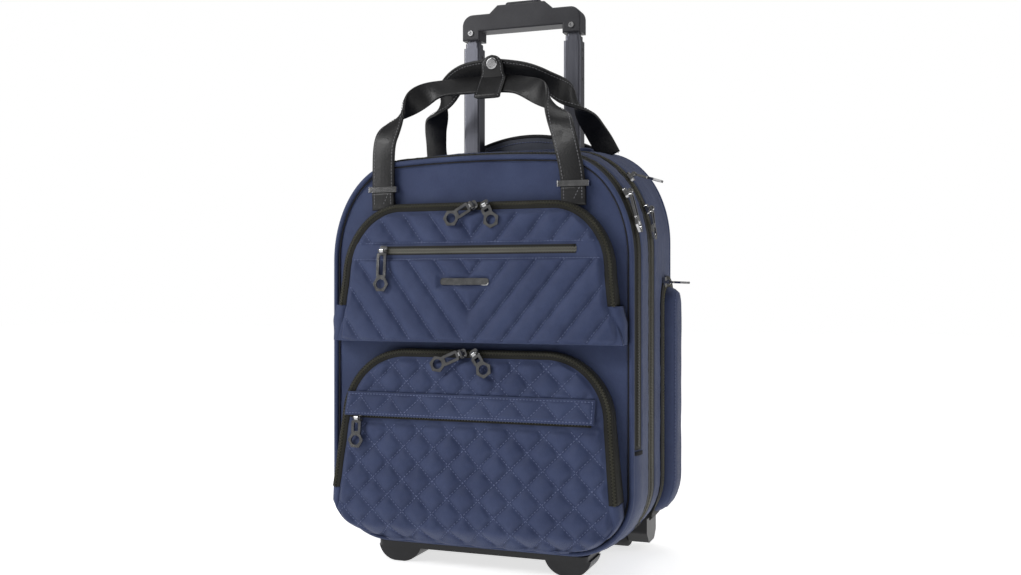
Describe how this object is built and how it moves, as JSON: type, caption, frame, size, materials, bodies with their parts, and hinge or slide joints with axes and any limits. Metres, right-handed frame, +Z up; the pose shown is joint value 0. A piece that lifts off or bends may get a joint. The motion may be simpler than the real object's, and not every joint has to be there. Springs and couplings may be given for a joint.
{
  "type": "rolling laptop case",
  "caption": "Soft wheeled laptop case with quilted front pockets, zipped compartments, twin carrying handles and a telescopic trolley handle.",
  "frame": {"origin": "on the floor, under the middle of the whole object's box; the case's own middle plane is 14.3 mm to the left", "axes": "+Z up, +Y towards the back, so the quilted front faces -Y, +X to the right as seen from the front"},
  "size_m": [0.3716, 0.2178, 0.633],
  "materials": {
    "navy_fabric": "plain woven polyester with a soft sheen",
    "quilted_fabric": "quilted woven polyester",
    "lining_fabric": "fine grey lining",
    "zip_tape": "black woven zip tape with moulded teeth",
    "black_leather": "satin grained leather with pale stitching",
    "dark_metal": "polished gunmetal plating",
    "gunmetal_tube": "satin anodised",
    "grip_plastic": "satin moulded",
    "black_plastic": "moulded, finely textured",
    "tyre_rubber": "smooth rubber",
    "axle_steel": "turned"
  },
  "bodies": {
    "case": {"axles": "axle_steel", "back_handle_anchors": "black_leather", "back_shell": "navy_fabric", "base_tray": "black_plastic", "case_zip_sliders": "dark_metal", "case_zip_tapes": "zip_tape", "collar_plate": "black_plastic", "feet": "black_plastic", "handle_cover": "navy_fabric", "lining_panel": "lining_fabric", "outer_tubes": "gunmetal_tube", "wheel_housings": "black_plastic"},
    "front_section": {"divider_panel": "lining_fabric", "front_frame": "navy_fabric", "front_panel": "navy_fabric", "front_piping": "navy_fabric", "front_zip_slider": "dark_metal", "front_zip_tapes": "zip_tape", "handle_keepers": "dark_metal", "handle_tails": "black_leather", "laptop_sleeve": "lining_fabric", "lower_pocket_base": "quilted_fabric", "upper_pocket_base": "quilted_fabric"},
    "upper_pocket_door": {"name_plate": "dark_metal", "upper_pocket_panel": "quilted_fabric", "upper_pocket_sliders": "dark_metal", "upper_pocket_zips": "zip_tape"},
    "lower_pocket_door": {"lower_pocket_panel": "quilted_fabric", "lower_pocket_sliders": "dark_metal", "lower_pocket_zips": "zip_tape"},
    "pocket_flap": {"pocket_flap": "navy_fabric"},
    "slip_slider": {"slip_slider": "dark_metal"},
    "flap_slider": {"flap_slider": "dark_metal"},
    "front_handle": {"front_handle": "black_leather", "handle_wrap": "black_leather", "snap_cap": "dark_metal"},
    "back_handle": {"back_handle": "black_leather"},
    "side_pocket": {"side_pocket": "navy_fabric"},
    "trolley_stage_a": {"trolley_stage_a": "gunmetal_tube"},
    "trolley_stage_b": {"trolley_stage_b": "gunmetal_tube"},
    "trolley_stage_c": {"grip_screws": "axle_steel", "trolley_grip": "grip_plastic", "trolley_stage_c": "gunmetal_tube"},
    "release_button": {"button_springs": "axle_steel", "release_button": "black_plastic", "release_rods": "axle_steel"},
    "wheel_left": {"hub_left": "black_plastic", "tyre_left": "tyre_rubber"},
    "wheel_right": {"hub_right": "black_plastic", "tyre_right": "tyre_rubber"},
    "front_zip_pull": {"front_zip_pull": "dark_metal"},
    "main_zip_upper_pull": {"main_zip_upper_pull": "dark_metal"},
    "main_zip_lower_pull": {"main_zip_lower_pull": "dark_metal"},
    "side_zip_pull": {"side_zip_pull": "dark_metal"},
    "upper_left_pull": {"upper_left_pull": "dark_metal"},
    "upper_right_pull": {"upper_right_pull": "dark_metal"},
    "lower_left_pull": {"lower_left_pull": "dark_metal"},
    "lower_right_pull": {"lower_right_pull": "dark_metal"},
    "slip_pull": {"slip_pull": "dark_metal"},
    "flap_pull": {"flap_pull": "dark_metal"}
  },
  "joints": [
    {"name": "front_section_hinge", "type": "hinge", "parent": "case", "child": "front_section", "pos_m": [-0.0143, -0.0791, 0.023], "axis": [1, 0, 0], "range_deg": [0, 60]},
    {"name": "upper_pocket_hinge", "type": "hinge", "parent": "front_section", "child": "upper_pocket_door", "pos_m": [-0.0143, -0.0981, 0.2787], "axis": [1, 0, 0], "range_deg": [0, 50]},
    {"name": "lower_pocket_hinge", "type": "hinge", "parent": "front_section", "child": "lower_pocket_door", "pos_m": [-0.0143, -0.1051, 0.0837], "axis": [1, 0, 0], "range_deg": [0, 50]},
    {"name": "flap_hinge", "type": "hinge", "parent": "lower_pocket_door", "child": "pocket_flap", "pos_m": [-0.0143, -0.09478, 0.18506], "axis": [-1, 0, 0], "range_deg": [0, 80]},
    {"name": "slip_zip_slide", "type": "slide", "parent": "upper_pocket_door", "child": "slip_slider", "axis": [1, 0, 0], "range_m": [0, 0.205]},
    {"name": "flap_zip_slide", "type": "slide", "parent": "lower_pocket_door", "child": "flap_slider", "axis": [1, 0, 0], "range_m": [0, 0.235]},
    {"name": "front_zip_pull_hinge", "type": "hinge", "parent": "front_section", "child": "front_zip_pull", "pos_m": [0.14711, -0.0686, 0.39437], "axis": [0, -1, 0], "range_deg": [0, 110]},
    {"name": "main_zip_upper_pull_hinge", "type": "hinge", "parent": "case", "child": "main_zip_upper_pull", "pos_m": [0.13794, -0.0141, 0.41678], "axis": [0, -1, 0], "range_deg": [-30, 50]},
    {"name": "main_zip_lower_pull_hinge", "type": "hinge", "parent": "case", "child": "main_zip_lower_pull", "pos_m": [0.15676, -0.0141, 0.38053], "axis": [0, -1, 0], "range_deg": [0, 110]},
    {"name": "side_zip_pull_hinge", "type": "hinge", "parent": "case", "child": "side_zip_pull", "pos_m": [0.1629, 0.0449, 0.303], "axis": [0, -1, 0], "range_deg": [0, 60]},
    {"name": "upper_left_pull_hinge", "type": "hinge", "parent": "upper_pocket_door", "child": "upper_left_pull", "pos_m": [-0.0143, -0.09585, 0.38205], "axis": [-0.515, 0.0718, 0.8542], "range_deg": [0, 90]},
    {"name": "upper_right_pull_hinge", "type": "hinge", "parent": "upper_pocket_door", "child": "upper_right_pull", "pos_m": [0.0002, -0.09585, 0.38205], "axis": [-0.891, -0.0381, -0.4524], "range_deg": [0, 90]},
    {"name": "lower_left_pull_hinge", "type": "hinge", "parent": "lower_pocket_door", "child": "lower_left_pull", "pos_m": [-0.0263, -0.09595, 0.22821], "axis": [-0.4067, 0.0982, 0.9083], "range_deg": [0, 90]},
    {"name": "lower_right_pull_hinge", "type": "hinge", "parent": "lower_pocket_door", "child": "lower_right_pull", "pos_m": [-0.0113, -0.09595, 0.22821], "axis": [-0.809, -0.0632, -0.5844], "range_deg": [0, 90]},
    {"name": "slip_pull_hinge", "type": "hinge", "parent": "slip_slider", "child": "slip_pull", "pos_m": [-0.1143, -0.10052, 0.3361], "axis": [-1, 0, 0], "range_deg": [0, 120]},
    {"name": "flap_pull_hinge", "type": "hinge", "parent": "flap_slider", "child": "flap_pull", "pos_m": [-0.1423, -0.10431, 0.15827], "axis": [-1, 0, 0], "range_deg": [0, 120]},
    {"name": "front_handle_hinge", "type": "hinge", "parent": "front_section", "child": "front_handle", "pos_m": [-0.0143, -0.0841, 0.409], "axis": [1, 0, 0], "range_deg": [0, 110]},
    {"name": "back_handle_hinge", "type": "hinge", "parent": "case", "child": "back_handle", "pos_m": [-0.0143, 0.0599, 0.459], "axis": [1, 0, 0], "range_deg": [-38, 0]},
    {"name": "side_pocket_hinge", "type": "hinge", "parent": "case", "child": "side_pocket", "pos_m": [0.1561, 0.0869, 0.172], "axis": [0, 0, 1], "range_deg": [0, 60]},
    {"name": "trolley_slide_a", "type": "slide", "parent": "case", "child": "trolley_stage_a", "axis": [0, 0, 1], "range_m": [-0.125, 0.14]},
    {"name": "trolley_slide_b", "type": "slide", "parent": "trolley_stage_a", "child": "trolley_stage_b", "axis": [0, 0, 1], "range_m": [0, 0.13]},
    {"name": "trolley_slide_c", "type": "slide", "parent": "trolley_stage_b", "child": "trolley_stage_c", "axis": [0, 0, 1], "range_m": [0, 0.13]},
    {"name": "release_button_press", "type": "slide", "parent": "trolley_stage_c", "child": "release_button", "axis": [0, 0, 1], "range_m": [-0.003, 0], "stiffness_N_per_m": 800, "springref_m": 0.002, "deforming": ["button_springs"]},
    {"name": "wheel_left_spin", "type": "hinge", "parent": "case", "child": "wheel_left", "pos_m": [-0.1283, 0.0839, 0.025], "axis": [1, 0, 0], "continuous": true},
    {"name": "wheel_right_spin", "type": "hinge", "parent": "case", "child": "wheel_right", "pos_m": [0.0997, 0.0839, 0.025], "axis": [1, 0, 0], "continuous": true}
  ]
}
